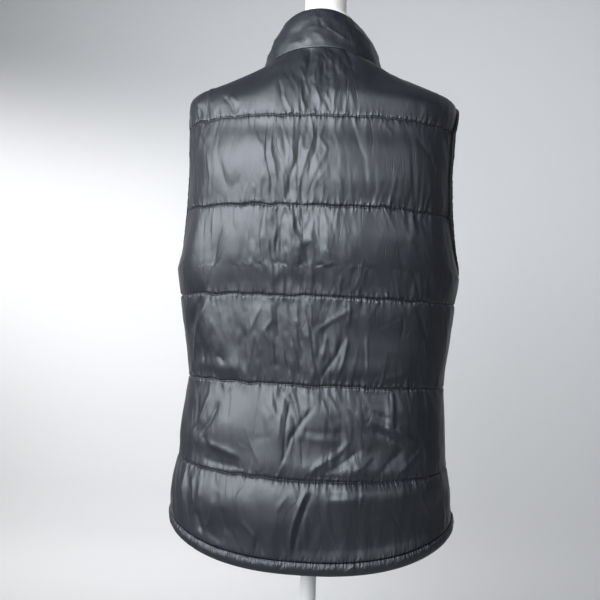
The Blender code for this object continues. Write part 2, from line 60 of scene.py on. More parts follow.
# Crumpled nylon, as layers of flat facets: height, width and length of a facet, and the layer's own seed.
FACETS = ((0.00100, 0.014, 0.046, 1), (0.00052, 0.0070, 0.022, 4), (0.00020, 0.0038, 0.010, 7))
STITCH_STEP, STITCH_LENGTH, THREAD_HALF = 0.0034, 0.0026, 0.00032
BINDING_COLUMNS, BINDING_TURN = 420, 0.82  # points round an armhole, and how far round its fold goes, in half turns
LIGHT_SPREAD = math.radians(72)
TEETH_START, TEETH_END, TEETH_STEP = 0.012, 0.945, 0.0013  # the end as a share of the zip's length

# z at the back, side and front over the hem, half width, y at the back, side and front, squareness
FIGURE = np.array([
    (0.0000, 0.041, 0.012, 0.1800, 0.1160, 0.000, -0.112, 2.35),
    (0.0153, 0.055, 0.027, 0.1790, 0.1160, 0.000, -0.113, 2.35),
    (0.0560, 0.082, 0.066, 0.1755, 0.1150, 0.000, -0.113, 2.35),
    (0.1080, 0.119, 0.111, 0.1705, 0.1110, 0.000, -0.110, 2.35),
    (0.1610, 0.164, 0.162, 0.1665, 0.1060, 0.000, -0.106, 2.35),
    (0.2195, 0.2205, 0.220, 0.1655, 0.1015, 0.000, -0.104, 2.35),
    (0.2730, 0.273, 0.273, 0.1690, 0.1040, 0.000, -0.110, 2.35),
    (0.3270, 0.327, 0.327, 0.1765, 0.1110, 0.000, -0.120, 2.35),
    (0.3610, 0.361, 0.356, 0.1795, 0.1160, 0.000, -0.126, 2.35),
    (0.3960, 0.396, 0.390, 0.1790, 0.1190, 0.000, -0.129, 2.35),
    (0.4340, 0.434, 0.426, 0.1775, 0.1215, 0.000, -0.127, 2.35),
    (0.4880, 0.488, 0.471, 0.1770, 0.1215, 0.000, -0.119, 2.35),
    (0.5430, 0.544, 0.512, 0.1775, 0.1155, 0.001, -0.107, 2.35),
    (0.5720, 0.571, 0.534, 0.1765, 0.1075, 0.001, -0.099, 2.35),
    (0.5900, 0.588, 0.546, 0.1720, 0.0990, 0.002, -0.094, 2.30),
    (0.6080, 0.598, 0.554, 0.1440, 0.0910, 0.003, -0.089, 2.20),
    (0.6250, 0.609, 0.562, 0.1110, 0.0840, 0.004, -0.083, 2.10),
    (0.6420, 0.628, 0.574, 0.0755, 0.0770, 0.005, -0.075, 2.00),
])
COLLAR = np.array([
    (0.6424, 0.6284, 0.5744, 0.0753, 0.0768, 0.005, -0.0748, 2.00),
    (0.6580, 0.645, 0.593, 0.0725, 0.0725, 0.005, -0.0710, 2.00),
    (0.6740, 0.661, 0.612, 0.0680, 0.0670, 0.005, -0.0660, 2.00),
    (0.6900, 0.677, 0.632, 0.0630, 0.0615, 0.005, -0.0605, 2.00),
    (0.7030, 0.690, 0.648, 0.0575, 0.0570, 0.005, -0.0550, 2.00),
])
CASING_TOP, UNDERARM, SHOULDER_TIP, NECK_SEAM = 0.0153, 0.361, 0.590, 0.642
QUILTING_LINES = (0.108, 0.2195, 0.327, 0.434, 0.543)
LINES_DOWN = np.array([NECK_SEAM, *QUILTING_LINES[::-1], CASING_TOP])
ARMHOLE_EDGE = np.array([  # height at the back, back angle, front angle
    (0.361, 90, 90),
    (0.367, 83, 83),
    (0.379, 76, 75),
    (0.396, 71.5, 69),
    (0.434, 68.5, 64),
    (0.488, 67.5, 61),
    (0.543, 70.5, 62),
    (0.572, 78, 71),
    (0.590, 90, 90),
])
BUST = {"out": 0.013, "x": 0.082, "z": 0.421, "wide": 0.050, "tall": 0.075}

# Creases of the back: height (troughs are negative) and half width in millimetres, then places down
# the crease as (millimetres from the centre back towards the wearer's left, line number).
BACK_CREASES = [
    # yoke
    (-2.0, 4.0, (118, 0.70), (104, 0.84), (99, 0.98)),
    (1.3, 4.0, (108, 0.70), (93, 0.85)),
    (-1.2, 5.0, (152, 0.76), (140, 0.98)),
    (1.0, 4.0, (133, 0.72), (124, 0.97)),
    (1.1, 3.0, (41, 0.72), (28, 1.0)),
    (1.0, 3.0, (20, 0.60), (17, 0.82), (9, 0.96)),
    (1.0, 2.6, (4, 0.62), (-5, 0.85), (-1, 1.0)),
    (-1.2, 3.0, (-17, 0.55), (-15, 0.75), (-2, 0.88)),
    (0.9, 2.0, (-23, 0.66), (-21, 0.95)),
    (0.8, 1.8, (-37, 0.66), (-45, 0.86), (-48, 0.98)),
    (0.9, 1.5, (25, 0.25), (6, 0.88)),
    (0.7, 1.5, (12, 0.55), (-15, 0.98)),
    (-0.8, 4.0, (47, 0.55), (38, 0.92)),
    (1.0, 2.4, (9, 0.08), (-2, 0.26)),
    (-1.0, 2.4, (3, 0.04), (-9, 0.22)),
    (0.9, 2.0, (-3, 0.10), (-17, 0.30)),
    (-0.8, 2.0, (14, 0.12), (8, 0.30)),
    # first channel
    (-1.9, 1.5, (57, 1.0), (56, 1.2), (56, 1.45), (50, 1.69), (48, 1.79), (52, 2.0)),
    (1.1, 3.2, (51, 1.02), (50, 1.42), (43, 1.72), (44, 1.9)),
    (1.0, 3.0, (42, 1.0), (36, 1.2), (29, 1.38), (31, 1.64)),
    (-2.4, 6.5, (17, 1.22), (18, 1.48), (27, 1.71), (29, 2.0)),
    (2.0, 3.4, (5, 1.02), (1, 1.27), (7, 1.45), (14, 1.69), (18, 1.98)),
    (1.1, 2.0, (-13, 1.02), (-6, 1.27), (-16, 1.40), (0, 1.69), (10, 1.98)),
    (0.9, 1.9, (-21, 1.54), (0, 1.82), (5, 1.97)),
    (-1.0, 2.6, (-3, 1.10), (-3, 1.38), (9, 1.76)),
    (-0.8, 4.0, (-46, 1.15), (-53, 1.37), (-63, 1.56)),
    (1.0, 2.0, (-74, 1.0), (-94, 1.22)),
    (-1.0, 6.0, (-114, 1.15), (-135, 1.38), (-143, 1.65)),
    (0.9, 4.0, (130, 1.36), (124, 1.68), (129, 1.97)),
    (-0.9, 5.0, (112, 1.5), (101, 1.9)),
    (-1.4, 9.0, (153, 1.0), (126, 1.42)),
    (0.7, 3.0, (-31, 1.68), (-36, 1.98)),
    (0.7, 2.5, (75, 1.85), (73, 2.0)),
    (-0.7, 5.0, (-70, 1.55), (-74, 1.95)),
    # second channel
    (-1.4, 2.0, (53, 2.0), (57, 2.15), (60, 2.37), (55, 2.6), (51, 2.92)),
    (1.5, 3.0, (52, 2.30), (49, 2.55), (45, 2.77), (45, 2.98)),
    (1.1, 2.6, (42, 2.20), (44, 2.49), (38, 2.72), (41, 2.96)),
    (-2.6, 6.5, (29, 2.0), (35, 2.18), (36, 2.42), (30, 2.65), (24, 2.86), (22, 3.0)),
    (2.0, 3.6, (16, 2.04), (24, 2.28), (24, 2.5), (14, 2.78), (7, 2.99)),
    (0.9, 5.0, (4, 2.22), (-3, 2.5), (0, 2.74)),
    (0.7, 3.0, (-12, 2.46), (-30, 2.56)),
    (0.7, 2.0, (-2, 2.73), (-31, 2.61)),
    (1.8, 3.0, (-58, 2.62), (-57, 2.77), (-52, 2.93)),
    (-1.1, 3.2, (-50, 2.68), (-46, 2.94)),
    (1.2, 2.6, (-37, 2.75), (-33, 2.99)),
    (-1.1, 7.0, (-99, 2.34), (-110, 2.86)),
    (-1.4, 5.0, (-118, 2.66), (-128, 2.97)),
    (0.8, 5.0, (-136, 2.08), (-141, 2.55)),
    (-0.8, 1.4, (132, 2.03), (130, 2.97)),
    (1.3, 3.2, (120, 2.10), (119, 2.52)),
    (-1.7, 4.2, (106, 2.20), (114, 2.45), (118, 2.7), (124, 2.88)),
    (1.3, 4.0, (97, 2.20), (108, 2.55), (127, 2.88)),
    (0.8, 3.0, (81, 2.10), (74, 2.3), (76, 2.55), (69, 2.78)),
    (0.7, 3.0, (95, 2.52), (91, 2.8), (80, 2.97)),
    # third channel
    (-3.6, 9.0, (131, 3.02), (144, 3.22), (152, 3.46)),
    (2.6, 4.6, (126, 3.04), (129, 3.18), (139, 3.41), (147, 3.84)),
    (-2.2, 7.0, (131, 3.58), (129, 3.82)),
    (-1.6, 5.0, (111, 3.70), (100, 3.80)),
    (1.5, 3.5, (84, 3.35), (84, 3.65), (84, 3.95)),
    (-1.3, 3.0, (77, 3.38), (77, 3.92)),
    (1.3, 3.0, (65, 3.40), (69, 3.7), (74, 3.95)),
    (1.3, 3.0, (57, 3.10), (72, 3.46)),
    (1.4, 3.0, (50, 3.03), (44, 3.28), (53, 3.4), (43, 3.55), (40, 3.84)),
    (-1.2, 3.0, (39, 3.06), (36, 3.44)),
    (-1.8, 2.0, (33, 3.42), (26, 3.68), (20, 3.96)),
    (1.6, 3.5, (21, 3.50), (9, 3.88)),
    (1.7, 3.6, (7, 3.0), (-1, 3.13), (-3, 3.36)),
    (-1.8, 2.0, (6, 3.12), (-3, 3.38), (-6, 3.65), (-12, 3.84)),
    (-1.8, 2.6, (-42, 3.44), (-31, 3.68), (-18, 3.86), (-12, 4.0)),
    (1.4, 6.0, (-22, 3.40), (-16, 3.72)),
    (1.5, 2.0, (-51, 3.11), (-23, 3.28), (-4, 3.42)),
    (1.8, 3.0, (-46, 3.42), (-41, 3.7), (-33, 3.94)),
    (1.1, 3.0, (-48, 3.04), (-45, 3.34)),
    (1.1, 1.5, (-67, 3.38), (-69, 3.86)),
    (1.1, 2.6, (-60, 3.96), (-96, 3.88), (-120, 3.80)),
    (-0.9, 2.0, (-64, 4.0), (-118, 3.91)),
    (-1.1, 1.6, (-62, 3.84), (-61, 4.0)),
    (-1.3, 4.0, (-121, 3.06), (-129, 3.2), (-137, 3.44)),
    (-1.0, 4.0, (-109, 3.15), (-107, 3.45)),
    (0.9, 4.0, (-133, 3.42), (-138, 3.75)),
    # fourth channel
    (2.6, 5.0, (118, 4.12), (129, 4.46), (136, 4.6), (142, 4.90)),
    (-2.4, 6.0, (105, 4.22), (115, 4.46), (132, 4.68)),
    (-1.3, 4.0, (93, 4.05), (93, 4.48)),
    (-1.3, 5.0, (126, 4.64), (113, 4.77)),
    (-1.8, 7.8, (128, 4.88), (111, 4.92), (86, 4.92), (68, 4.95)),
    (2.2, 8.0, (125, 4.70), (97, 4.76), (74, 4.82)),
    (-2.4, 1.7, (19, 4.08), (20, 4.17), (23, 4.39), (24, 4.63), (24, 4.77), (32, 4.98)),
    (1.2, 4.0, (26, 4.08), (30, 4.39), (32, 4.68)),
    (-2.4, 2.6, (-9, 4.22), (6, 4.41), (18, 4.58), (23, 4.80)),
    (-0.8, 3.4, (8, 4.49), (-15, 4.5), (-48, 4.5)),
    (0.7, 5.5, (1, 4.57), (-43, 4.59)),
    (-1.1, 3.0, (5, 4.54), (2, 4.88)),
    (1.3, 2.0, (-17, 4.14), (-28, 4.36)),
    (1.3, 2.0, (-26, 4.10), (-39, 4.33)),
    (1.3, 2.0, (-5, 4.04), (-8, 4.19)),
    (1.2, 2.0, (-39, 4.17), (-34, 4.03)),
    (-1.8, 3.2, (-46, 4.22), (-58, 4.39), (-70, 4.56)),
    (1.8, 3.0, (-69, 4.32), (-90, 4.43), (-112, 4.5), (-130, 4.62)),
    (-2.0, 4.2, (-73, 4.42), (-114, 4.62)),
    (1.1, 2.0, (-91, 4.34), (-115, 4.53)),
    (-1.4, 3.0, (-63, 4.22), (-99, 4.35)),
    (-1.1, 1.5, (-95, 4.0), (-94, 4.32)),
    (2.1, 3.2, (-52, 4.56), (-37, 4.72), (-18, 4.82), (2, 4.98)),
    (-2.2, 4.0, (-62, 4.66), (-43, 4.82), (-20, 4.93)),
    (1.7, 4.0, (-81, 4.70), (-53, 4.92)),
    (-1.4, 5.2, (4, 4.97), (-26, 4.96), (-64, 4.97), (-120, 4.97)),
    (1.5, 2.6, (-135, 4.64), (-121, 4.81), (-101, 4.96)),
    (-1.8, 7.0, (-114, 4.64), (-80, 4.97)),
    (0.8, 3.0, (72, 4.42), (66, 4.63), (51, 4.90)),
    (-0.4, 3.9, (62, 4.60), (37, 4.57)),
    # fifth channel
    (2.9, 3.2, (-6, 5.04), (2, 5.26), (9, 5.48), (13, 5.68), (14, 5.98)),
    (-2.4, 3.0, (-12, 5.08), (-3, 5.32), (4, 5.57), (9, 5.88)),
    (-0.85, 2.3, (-24, 5.17), (-61, 5.14)),
    (0.85, 3.4, (-27, 5.23), (-61, 5.19)),
    (1.3, 2.5, (82, 5.08), (78, 5.38), (79, 5.7), (70, 5.96)),
    (1.3, 2.5, (73, 5.56), (57, 5.72), (56, 5.93)),
    (-1.3, 2.0, (52, 5.74), (54, 5.98)),
    (1.2, 3.0, (145, 5.10), (148, 5.52)),
    (1.2, 3.0, (135, 5.16), (131, 5.58)),
    (1.2, 3.0, (123, 5.14), (124, 5.48)),
    (1.5, 3.2, (104, 5.34), (109, 5.65), (119, 5.84)),
    (1.1, 3.0, (97, 5.06), (99, 5.34)),
    (-2.4, 5.0, (128, 5.60), (121, 5.90)),
    (-1.6, 6.0, (96, 5.44), (88, 5.80)),
    (-0.8, 3.9, (113, 5.84), (94, 5.92)),
    (0.9, 2.0, (31, 5.40), (16, 5.16)),
    (0.8, 2.5, (-70, 5.40), (-112, 5.62)),
    (0.8, 3.0, (-130, 5.20), (-148, 5.60)),
    (-0.9, 3.0, (-96, 5.30), (-118, 5.80)),
]
GATHERS = [  # where the stitching has bunched the cloth up: line, x from and to in mm, height in mm
    (1, 30, 60, 1.2), (1, -110, -60, 1.1), (2, -10, -90, 1.4), (2, 60, 110, 1.1),
    (3, 75, 128, 1.8), (3, -5, -110, 1.9), (3, 20, 45, 1.4), (4, -30, -140, 1.8), (4, 100, 150, 1.5),
    (4, -5, 20, 1.4), (5, -10, -80, 1.5), (5, 90, 125, 1.0),
]
CALM = [  # where the cloth lies smooth: reach across and along in mm, x in mm, line
    (42, 34, 95, 1.45), (60, 36, -100, 1.45), (60, 30, -100, 2.45), (50, 26, -105, 3.5), (22, 30, 112, 2.5),
    (26, 30, 70, 4.5), (60, 20, -90, 0.6), (50, 20, -80, 5.45), (28, 20, 60, 5.6),
]
BACK_FORMS = [  # the padding's own lumps and hollows: height, reach across and reach along in mm, x in mm, line
    (4.6, 85, 15, -70, 5.16), (-5.2, 95, 24, -80, 5.74), (-2.0, 30, 18, -140, 5.55),
    (2.2, 40, 20, 95, 5.35), (-1.8, 40, 16, 110, 5.80), (1.6, 22, 26, 20, 5.50),
    (2.6, 60, 16, -80, 4.25), (-2.4, 70, 22, -70, 4.66), (2.6, 70, 12, -60, 4.90),
    (-2.4, 26, 24, 140, 4.40), (2.2, 30, 28, 95, 4.50), (-1.6, 40, 16, 120, 4.82),
    (-2.0, 20, 34, 60, 4.55), (1.6, 18, 30, 28, 4.60),
    (-2.6, 26, 34, 150, 3.50), (2.0, 24, 34, 112, 3.55), (-1.6, 16, 34, 84, 3.50), (1.6, 16, 34, 60, 3.45),
    (2.2, 50, 14, -60, 3.82), (-1.8, 60, 18, -80, 3.40), (2.0, 50, 12, 110, 3.86),
    (-1.8, 16, 40, 120, 2.50), (1.6, 18, 36, 95, 2.45), (-1.8, 14, 44, 40, 2.50), (1.6, 12, 44, 62, 2.50),
    (-2.0, 60, 24, -110, 2.70), (1.8, 60, 20, -90, 2.30),
    (-2.2, 30, 26, 150, 1.55), (2.0, 50, 34, 90, 1.50), (-1.6, 10, 44, 34, 1.50), (1.8, 90, 20, -60, 1.70),
    (-2.0, 90, 14, -60, 1.16), (-2.0, 60, 14, 60, 1.14),
    (2.4, 70, 16, -90, 0.72), (-2.6, 60, 20, -80, 0.30), (-2.0, 24, 18, 96, 0.62), (2.0, 30, 18, 60, 0.55),
    (-1.6, 20, 18, 130, 0.85),
]
COLLAR_CREASES = [  # as for the back, with 0 at the neck seam and 1 at the top edge
    (-3.0, 2.2, (26, 0.26), (42, 0.14), (62, 0.02)),
    (2.4, 3.0, (22, 0.38), (40, 0.31), (54, 0.14)),
    (-1.4, 5.0, (40, 0.62), (52, 0.36)),
    (1.1, 3.0, (30, 0.72), (44, 0.78)),
    (1.2, 2.0, (-4, 0.50), (-14, 0.22)),
    (0.9, 2.0, (8, 0.42), (12, 0.24)),
    (-0.9, 3.0, (4, 0.70), (-2, 0.44)),
    (0.9, 2.0, (-20, 0.58), (-28, 0.44)),
    (0.9, 2.4, (-30, 0.66), (-42, 0.52)),
    (-0.9, 3.0, (-26, 0.34), (-40, 0.22)),
    (0.9, 3.0, (16, 0.10), (24, 0.50)),
]
BACK_COLUMNS, FRONT_COLUMNS, COLLAR_COLUMNS = 322, 160, 300


# ---- the figure ----
def within(values):
    return np.clip(values, 0, 1)


def eased(values):
    """A smooth step from 0 to 1."""
    share = within(values)
    return share * share * (3 - 2 * share)


def unit(vectors):
    return vectors / np.linalg.norm(vectors, axis=-1, keepdims=True)


def run_along(points):
    """The distance along a line at each of its points."""
    return np.concatenate([[0], np.cumsum(np.linalg.norm(np.diff(points, axis=0), axis=1))])


def along_line(values, run, wanted):
    return np.stack([np.interp(wanted, run, values[:, k]) for k in range(3)], axis=-1)


def smooth_rows(table, heights):
    """The table's rows at these heights at the back, on a cubic curve through them."""
    at, slopes = table[:, 0], np.gradient(table, table[:, 0], axis=0)
    low = np.clip(np.searchsorted(at, heights, side="right") - 1, 0, len(at) - 2)
    step = (at[low + 1] - at[low])[:, None]
    t = within((heights - at[low])[:, None] / step)
    h00, h10 = 2 * t**3 - 3 * t**2 + 1, t**3 - 2 * t**2 + t
    h01, h11 = 3 * t**2 - 2 * t**3, t**3 - t**2
    return h00 * table[low] + h10 * step * slopes[low] + h01 * table[low + 1] + h11 * step * slopes[low + 1]


def figure_points(table, heights, angles):
    """Points of the figure; heights has one value a row, angles a grid, 0 at the centre back and turning to +X."""
    rows = smooth_rows(table, heights)
    z_back, z_side, z_front, half_width, y_back, y_side, y_front, squareness = rows.T[:, :, None]
    across = np.sin(angles)
    reach = within(1 - np.abs(across) ** squareness) ** (1 / squareness)
    behind = np.cos(angles) >= 0
    x = half_width * across
    y = y_side + reach * np.where(behind, y_back - y_side, y_front - y_side)
    z = z_side + reach**1.6 * np.where(behind, z_back - z_side, z_front - z_side)
    mound = np.exp(-(((np.abs(x) - BUST["x"]) / BUST["wide"]) ** 2) - ((z - BUST["z"]) / BUST["tall"]) ** 2)
    y = y - np.where(behind, 0, BUST["out"] * mound * within(reach * 2))
    return np.stack([x, y, z + HEM_HEIGHT], axis=-1)


def figure_normals(table, heights, angles):
    low, high = table[0, 0], table[-1, 0]
    above = figure_points(table, np.clip(heights + 0.002, low, high), angles)
    below = figure_points(table, np.clip(heights - 0.002, low, high), angles)
    ahead = figure_points(table, heights, angles + 0.006)
    behind = figure_points(table, heights, angles - 0.006)
    return unit(np.cross(above - below, ahead - behind))


def mitre(first, second):
    middle = unit(first + second)
    return middle / np.sum(middle * first, axis=-1, keepdims=True)


def neck_mitre(angles):
    at_neck, at_collar = FIGURE[-1:, 0], COLLAR[:1, 0]
    return mitre(figure_normals(FIGURE, at_neck, angles[None]), figure_normals(COLLAR, at_collar, angles[None]))[0]


def panel_ends(part, heights):
    """The angles at which each row of a panel starts and ends."""
    back = np.radians(np.interp(heights, ARMHOLE_EDGE[:, 0], ARMHOLE_EDGE[:, 1]))
    if part == "back":
        return -back, back
    start = math.pi - np.radians(np.interp(heights, ARMHOLE_EDGE[:, 0], ARMHOLE_EDGE[:, 2]))
    end = math.pi - np.arcsin(ZIP_HALF_GAP / smooth_rows(FIGURE, heights)[:, 3])
    return (start, end) if part == "front_left" else (-end, -start)


def even_angles(table, heights, start, end, columns):
    """Angles that space the columns evenly along each row."""
    shares = np.linspace(0, 1, 400)
    trial = start[:, None] + (end - start)[:, None] * shares
    points = figure_points(table, heights, trial)
    run = np.cumsum(np.linalg.norm(np.diff(points, axis=1), axis=-1), axis=1)
    run = np.concatenate([np.zeros((len(heights), 1)), run], axis=1)
    wanted = np.linspace(0, 1, columns)
    return np.array([np.interp(wanted * r[-1], r, t) for r, t in zip(run, trial)])


def row_heights(lines, near=0.0008, far=0.0030, reach=0.009):
    """Heights up a panel, closer together beside each line."""
    heights = [lines[0]]
    while heights[-1] < lines[-1] - 1e-6:
        here = heights[-1]
        gap = min(abs(here - line) for line in lines)
        step = near + (far - near) * min(gap / reach, 1)
        ahead = min(line for line in lines if line > here + 1e-6)
        left = ahead - here
        heights.append(ahead if left < step * 1.4 else here + step)
    return np.array(heights)


class Cloth:
    """A grid over the figure, with its measure along (u) and up (v) in metres and its outward normals."""

    def __init__(self, table, heights, angles, neck_row=None):
        self.heights, self.angles = heights, angles
        self.base = figure_points(table, heights, angles)
        self.normals = figure_normals(table, heights, angles)
        if neck_row is not None:
            self.normals[neck_row] = neck_mitre(angles[neck_row])
        run = np.linalg.norm(np.diff(self.base, axis=1), axis=-1)
        run = np.concatenate([np.zeros((len(heights), 1)), np.cumsum(run, axis=1)], axis=1)
        middle = np.array([np.interp(0, a, r) if a[0] < 0 < a[-1] else r[-1] if a[-1] > 0 else 0.0
                           for a, r in zip(angles, run)])
        self.edge = np.minimum(run, run[:, -1:] - run)
        self.u = run - middle[:, None]
        rise = np.linalg.norm(np.diff(self.base, axis=0), axis=-1).mean(axis=1)
        self.v = np.repeat(np.concatenate([[0], np.cumsum(rise)])[:, None], angles.shape[1], axis=1)

    def place(self, x, height):
        """u and v of a place given by its distance across and its height at the back."""
        row = int(np.argmin(np.abs(self.heights - height)))
        order = np.argsort(self.base[row, :, 0])
        u = np.interp(x, self.base[row, order, 0], self.u[row, order])
        return u, np.interp(height, self.heights, self.v[:, 0])


# ---- relief ----
def crease_profile(distance, half_width):
    """1 on the crease, falling away with a narrow crest."""
    sharp = 0.15 * half_width
    away = np.sqrt(distance**2 + sharp**2) - sharp
    return 0.62 * np.exp(-away / half_width) + 0.38 * np.exp(-away / (0.3 * half_width))


def add_crease(field, cloth, points, height, half_width, ends=(0.22, 0.28)):
    """Adds a crease along a line of (u, v) points."""
    points = np.array(points)
    reach = 5 * half_width
    low, high = points.min(0) - reach, points.max(0) + reach
    rows = np.flatnonzero((cloth.v[:, 0] > low[1]) & (cloth.v[:, 0] < high[1]))
    if not len(rows):
        return
    part = slice(rows[0], rows[-1] + 1)
    u, v = cloth.u[part], cloth.v[part]
    lengths = np.linalg.norm(np.diff(points, axis=0), axis=1)
    total = lengths.sum()
    best = np.full(u.shape, 1e9)
    along = np.zeros(u.shape)
    run = 0.0
    for start, end, length in zip(points, points[1:], lengths):
        way = (end - start) / length
        t = np.clip((u - start[0]) * way[0] + (v - start[1]) * way[1], 0, length)
        away = np.hypot(u - start[0] - way[0] * t, v - start[1] - way[1] * t)
        nearer = away < best
        best = np.where(nearer, away, best)
        along = np.where(nearer, (run + t) / total, along)
        run += length
    rise = eased(within(along / ends[0]) * within((1 - along) / ends[1]))
    field[part] += height * (0.12 + 0.88 * rise) * crease_profile(best, half_width)


def noise_field(cloth, wide, tall, seed):
    """Smooth noise of unit spread over a cloth, with features about wide by tall metres."""
    rng = np.random.default_rng(seed)
    cell = min(wide, tall) / 3
    u, v = cloth.u - cloth.u.min(), cloth.v - cloth.v.min()
    shape = (int(v.max() / cell) + 4, int(u.max() / cell) + 4)
    white = rng.standard_normal(shape)
    fy, fx = np.meshgrid(np.fft.fftfreq(shape[0], cell), np.fft.rfftfreq(shape[1], cell), indexing="ij")
    smooth = np.fft.irfft2(np.fft.rfft2(white) * np.exp(-((fx * wide) ** 2 + (fy * tall) ** 2) * 2.2), s=shape)
    smooth /= smooth.std()
    x, y = u / cell, v / cell
    i, j = y.astype(int), x.astype(int)
    a, b = y - i, x - j
    a, b = eased(a), eased(b)
    return ((smooth[i, j] * (1 - b) + smooth[i, j + 1] * b) * (1 - a)
            + (smooth[i + 1, j] * (1 - b) + smooth[i + 1, j + 1] * b) * a)


def facets(cloth, wide, tall, seed):
    """Crumpled cloth: flat facets about wide by tall metres that meet in creases, of unit spread."""
    rng = np.random.default_rng(seed)
    x = (cloth.u - cloth.u.min()) / wide + 1.5 + 0.40 * noise_field(cloth, wide * 1.6, tall * 1.6, seed + 1)
    y = (cloth.v - cloth.v.min()) / tall + 1.5 + 0.40 * noise_field(cloth, wide * 1.6, tall * 1.6, seed + 2)
    x, y = x - x.min() + 0.1, y - y.min() + 0.1
    corner = rng.standard_normal((int(y.max()) + 3, int(x.max()) + 3))
    i, j = y.astype(int), x.astype(int)
    a, b = y - i, x - j
    first, last = corner[i, j], corner[i + 1, j + 1]
    right = first * (1 - b) + corner[i, j + 1] * (b - a) + last * a
    left = first * (1 - a) + corner[i + 1, j] * (a - b) + last * b
    return np.where(b > a, right, left)


def add_puckers(field, cloth, height, seed, up=True, down=True, spacing=0.0056, tall=0.0015, length=0.008,
                span=None):
    """Short ridges and troughs square to a stitched line, where the thread has drawn the cloth up."""
    rng = np.random.default_rng(seed)
    at = np.interp(height, cloth.heights, cloth.v[:, 0])
    low, high = span or (cloth.u.min(), cloth.u.max())
    for way, wanted in ((1, up), (-1, down)):
        if not wanted:
            continue
        place = low
        while place < high:
            place += spacing * rng.uniform(0.45, 1.7)
            size = tall * rng.uniform(0.35, 1.35)
            run = length * rng.uniform(0.4, 1.3) * (2.6 if rng.random() < 0.10 else 1)
            lean = rng.normal(0, 0.22)
            half = rng.uniform(0.0010, 0.0021)
            rows = np.flatnonzero(np.abs(cloth.v[:, 0] - at) < run * 2.2)
            part = slice(rows[0], rows[-1] + 1)
            u, v = cloth.u[part], (cloth.v[part] - at) * way
            inside = np.clip(v, 0, None)
            rise = within(inside / 0.0022) * np.exp(-inside / run)
            off = u - place - lean * inside
            near = np.abs(off) < half * 6
            field[part] += np.where(near & (v > 0), size * rise * crease_profile(off, half), 0)


def channel_puff(cloth, lines):
    """The padded wall's thickness before any fold, and how freely each point of it can fold."""
    lines = np.array(lines)
    low = np.clip(np.searchsorted(lines, cloth.heights, side="right") - 1, 0, len(lines) - 2)
    share = within((cloth.heights - lines[low]) / (lines[low + 1] - lines[low]))
    near = np.clip(np.minimum(cloth.heights - lines[low], lines[low + 1] - cloth.heights), 0, None)
    swell = within(np.sin(np.pi * share**1.12)) ** 0.72
    rise = 0.10 * (1 - np.exp(-near / 0.0007)) + 0.90 * swell
    side = within(cloth.edge / SIDE_TAPER) ** 0.6
    stitched = np.exp(-np.abs(cloth.heights[:, None] - np.array(QUILTING_LINES)).min(axis=1) / 0.0006)
    low_wall = WALL_AT_SEAM + (WALL_AT_LINE - WALL_AT_SEAM) * side
    wall = low_wall + (WALL_AT_CROWN - low_wall) * rise[:, None] * side
    at_neck = eased((cloth.heights - (NECK_SEAM - 0.030)) / 0.030)[:, None]
    wall = wall * (1 - at_neck) + WALL_AT_NECK * at_neck
    wall -= GROOVE * stitched[:, None] * within(cloth.edge / 0.006)
    return wall, rise[:, None] * within(side * 1.5)


def line_height(number):
    return np.interp(number, np.arange(len(LINES_DOWN)), LINES_DOWN)


def spot(cloth, wide, tall, x, line):
    """1 at a place on the back, falling away over its reach across and along in millimetres."""
    u, v = cloth.place(x / 1000, line_height(line))
    return np.exp(-(((cloth.u - u) / wide) ** 2 + ((cloth.v - v) / tall) ** 2) * 1e6)


# ---- meshes ----
def mesh_object(name, vertices, quads, uv=None, smooth=True):
    mesh = bpy.data.meshes.new(name)
    vertices = np.asarray(vertices, np.float32)
    quads = np.asarray(quads, np.int32)
    mesh.vertices.add(len(vertices))
    mesh.vertices.foreach_set("co", vertices.ravel())
    mesh.loops.add(quads.size)
    mesh.loops.foreach_set("vertex_index", quads.ravel())
    mesh.polygons.add(len(quads))
    mesh.polygons.foreach_set("loop_start", np.arange(0, quads.size, quads.shape[1], dtype=np.int32))
    mesh.update(calc_edges=True)
    mesh.validate()
    if uv is not None:
        layer = mesh.uv_layers.new(name="cloth")
        layer.data.foreach_set("uv", np.asarray(uv, np.float32)[quads.ravel()].ravel())
    if smooth:
        mesh.shade_smooth()
    made = bpy.data.objects.new(name, mesh)
    bpy.context.scene.collection.objects.link(made)
    return made


def grid_quads(rows, columns, wrap=False):
    i, j = np.meshgrid(np.arange(rows - 1), np.arange(columns if wrap else columns - 1), indexing="ij")
    k = (j + 1) % columns
    a, b = i * columns + j, i * columns + k
    c, d = (i + 1) * columns + k, (i + 1) * columns + j
    return np.stack([a, b, c, d], axis=-1).reshape(-1, 4)


def grid_object(name, points, u=None, v=None, wrap=False):
    rows, columns = points.shape[:2]
    uv = None if u is None else np.stack([u.ravel(), v.ravel()], axis=-1)
    return mesh_object(name, points.reshape(-1, 3), grid_quads(rows, columns, wrap), uv)


def rimmed(cloth, thickness):
    """The outer face of a wall, its edge rows and columns turned in to the inner face."""
    outer = cloth.base + cloth.normals * thickness[..., None]
    points = np.pad(outer, ((1, 1), (1, 1), (0, 0)), mode="edge")
    inner = np.pad(cloth.base, ((1, 1), (1, 1), (0, 0)), mode="edge")
    for edge in (np.s_[0], np.s_[-1], np.s_[:, 0], np.s_[:, -1]):
        points[edge] = inner[edge]
    return points, np.pad(cloth.u, 1, mode="edge"), np.pad(cloth.v, 1, mode="edge")


def mark_seams(made, u, v, seams):
    """Stores how far along and how far from its nearest stitched line each point of a cloth is."""
    nearest = np.abs(np.asarray(v)[..., None] - np.asarray(seams)).min(axis=-1)
    layer = made.data.uv_layers.new(name="seam")
    corners = np.empty(len(made.data.loops), np.int32)
    made.data.loops.foreach_get("vertex_index", corners)
    both = np.stack([np.asarray(u), nearest], axis=-1).reshape(-1, 2).astype(np.float32)
    layer.data.foreach_set("uv", both[corners].ravel())


